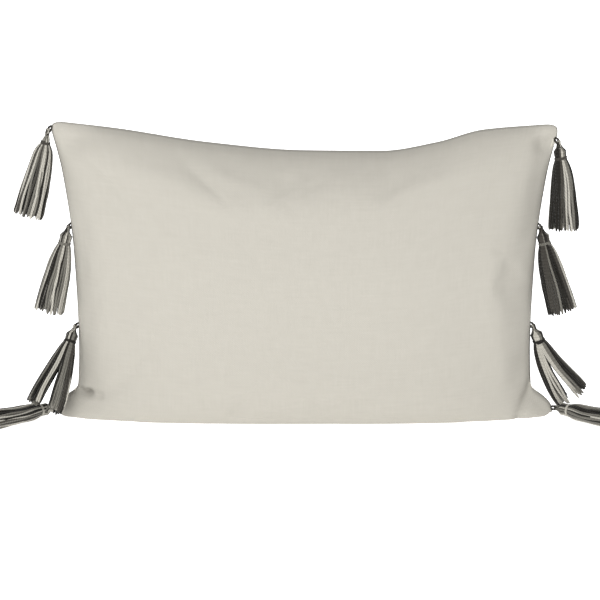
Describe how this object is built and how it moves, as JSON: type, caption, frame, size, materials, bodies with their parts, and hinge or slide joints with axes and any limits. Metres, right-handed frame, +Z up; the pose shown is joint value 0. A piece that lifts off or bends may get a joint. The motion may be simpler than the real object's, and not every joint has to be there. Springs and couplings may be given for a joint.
{
  "type": "throw pillow",
  "caption": "Rectangular stuffed throw pillow with a zipped cover, an inner insert and yarn tassels hanging from both short sides.",
  "frame": {"origin": "on the floor under the middle of the pillow as it stands on its long edge", "axes": "+X along the pillow's length, +Y from the plain back panel towards the patterned front panel, +Z up"},
  "size_m": [0.6637, 0.132, 0.298],
  "materials": {
    "cream_cotton": "plain weave, matt",
    "black_and_cream_weave": "patterned weave, matt",
    "cream_thread": "matt",
    "white_ticking": "plain weave, matt",
    "polyester_fibre": "loose fibre",
    "zip_nylon": "satin",
    "zip_metal": "nickel-plated",
    "mixed_yarn": "plied yarn in black, dark grey and pale grey"
  },
  "bodies": {
    "pillow": {"cover_back_panel": "cream_cotton", "cover_front_panel": "black_and_cream_weave", "cover_seam_thread": "cream_thread", "insert_shell_back": "white_ticking", "insert_shell_front": "white_ticking", "insert_seam_thread": "cream_thread", "insert_fill": "polyester_fibre", "zip_tape_back": "zip_nylon", "zip_tape_front": "zip_nylon", "zip_coil_back": "zip_nylon", "zip_coil_front": "zip_nylon", "zip_stop_left": "zip_metal", "zip_stop_right": "zip_metal"},
    "zip_slider": {"zip_slider": "zip_metal"},
    "zip_pull": {"zip_pull": "zip_metal"},
    "tassel_left_1_hanger": {"tassel_left_1_hanger": "cream_thread"},
    "tassel_left_1": {"tassel_left_1_yarn": "mixed_yarn", "tassel_left_1_tie": "mixed_yarn"},
    "tassel_left_2_hanger": {"tassel_left_2_hanger": "cream_thread"},
    "tassel_left_2": {"tassel_left_2_yarn": "mixed_yarn", "tassel_left_2_tie": "mixed_yarn"},
    "tassel_left_3_hanger": {"tassel_left_3_hanger": "cream_thread"},
    "tassel_left_3": {"tassel_left_3_yarn": "mixed_yarn", "tassel_left_3_tie": "mixed_yarn"},
    "tassel_left_4_hanger": {"tassel_left_4_hanger": "cream_thread"},
    "tassel_left_4": {"tassel_left_4_yarn": "mixed_yarn", "tassel_left_4_tie": "mixed_yarn"},
    "tassel_right_1_hanger": {"tassel_right_1_hanger": "cream_thread"},
    "tassel_right_1": {"tassel_right_1_yarn": "mixed_yarn", "tassel_right_1_tie": "mixed_yarn"},
    "tassel_right_2_hanger": {"tassel_right_2_hanger": "cream_thread"},
    "tassel_right_2": {"tassel_right_2_yarn": "mixed_yarn", "tassel_right_2_tie": "mixed_yarn"},
    "tassel_right_3_hanger": {"tassel_right_3_hanger": "cream_thread"},
    "tassel_right_3": {"tassel_right_3_yarn": "mixed_yarn", "tassel_right_3_tie": "mixed_yarn"},
    "tassel_right_4_hanger": {"tassel_right_4_hanger": "cream_thread"},
    "tassel_right_4": {"tassel_right_4_yarn": "mixed_yarn", "tassel_right_4_tie": "mixed_yarn"}
  },
  "joints": [
    {"name": "zip_slide", "type": "slide", "parent": "pillow", "child": "zip_slider", "axis": [-1, 0, 0], "range_m": [0, 0.38]},
    {"name": "zip_pull_turn", "type": "hinge", "parent": "zip_slider", "child": "zip_pull", "pos_m": [0.19, 0, 0.00702], "axis": [0, -1, 0], "range_deg": [0, 180]},
    {"name": "tassel_left_1_swing", "type": "hinge", "parent": "pillow", "child": "tassel_left_1_hanger", "pos_m": [-0.2482, 0, 0.29071], "axis": [0, 1, 0], "range_deg": [-6, 88]},
    {"name": "tassel_left_1_sway", "type": "hinge", "parent": "tassel_left_1_hanger", "child": "tassel_left_1", "pos_m": [-0.25131, 0, 0.28642], "axis": [0.9781, 0, -0.2079], "range_deg": [-85, 85]},
    {"name": "tassel_left_2_swing", "type": "hinge", "parent": "pillow", "child": "tassel_left_2_hanger", "pos_m": [-0.23031, 0, 0.19445], "axis": [0, 1, 0], "range_deg": [-1, 60]},
    {"name": "tassel_left_2_sway", "type": "hinge", "parent": "tassel_left_2_hanger", "child": "tassel_left_2", "pos_m": [-0.23357, 0, 0.19027], "axis": [0.9703, 0, -0.2419], "range_deg": [-60, 60]},
    {"name": "tassel_left_3_swing", "type": "hinge", "parent": "pillow", "child": "tassel_left_3_hanger", "pos_m": [-0.22511, 0, 0.09381], "axis": [0, 1, 0], "range_deg": [-3, 58]},
    {"name": "tassel_left_3_sway", "type": "hinge", "parent": "tassel_left_3_hanger", "child": "tassel_left_3", "pos_m": [-0.22893, 0, 0.09013], "axis": [0.8936, 0, -0.4488], "range_deg": [-55, 8]},
    {"name": "tassel_left_4_swing", "type": "hinge", "parent": "pillow", "child": "tassel_left_4_hanger", "pos_m": [-0.24829, 0, 0.00805], "axis": [0, 1, 0], "range_deg": [-22, 26]},
    {"name": "tassel_left_4_sway", "type": "hinge", "parent": "tassel_left_4_hanger", "child": "tassel_left_4", "pos_m": [-0.25359, 0, 0.00787], "axis": [0, 0, -1], "range_deg": [-20, 100]},
    {"name": "tassel_right_1_swing", "type": "hinge", "parent": "pillow", "child": "tassel_right_1_hanger", "pos_m": [0.24591, 0, 0.27912], "axis": [0, -1, 0], "range_deg": [-4, 88]},
    {"name": "tassel_right_1_sway", "type": "hinge", "parent": "tassel_right_1_hanger", "child": "tassel_right_1", "pos_m": [0.24888, 0, 0.27473], "axis": [-0.9877, 0, -0.1564], "range_deg": [-85, 85]},
    {"name": "tassel_right_2_swing", "type": "hinge", "parent": "pillow", "child": "tassel_right_2_hanger", "pos_m": [0.23047, 0, 0.19395], "axis": [0, -1, 0], "range_deg": [-1, 12]},
    {"name": "tassel_right_2_sway", "type": "hinge", "parent": "tassel_right_2_hanger", "child": "tassel_right_2", "pos_m": [0.23359, 0, 0.18967], "axis": [-0.9703, 0, -0.2419], "range_deg": [-45, 45]},
    {"name": "tassel_right_3_swing", "type": "hinge", "parent": "pillow", "child": "tassel_right_3_hanger", "pos_m": [0.22514, 0, 0.09435], "axis": [0, -1, 0], "range_deg": [-3, 58]},
    {"name": "tassel_right_3_sway", "type": "hinge", "parent": "tassel_right_3_hanger", "child": "tassel_right_3", "pos_m": [0.22868, 0, 0.09041], "axis": [-0.9225, 0, -0.386], "range_deg": [-55, 8]},
    {"name": "tassel_right_4_swing", "type": "hinge", "parent": "pillow", "child": "tassel_right_4_hanger", "pos_m": [0.24829, 0, 0.00803], "axis": [0, -1, 0], "range_deg": [-22, 60]},
    {"name": "tassel_right_4_sway", "type": "hinge", "parent": "tassel_right_4_hanger", "child": "tassel_right_4", "pos_m": [0.25359, 0, 0.00785], "axis": [0, 0, -1], "range_deg": [-38, 62]}
  ]
}
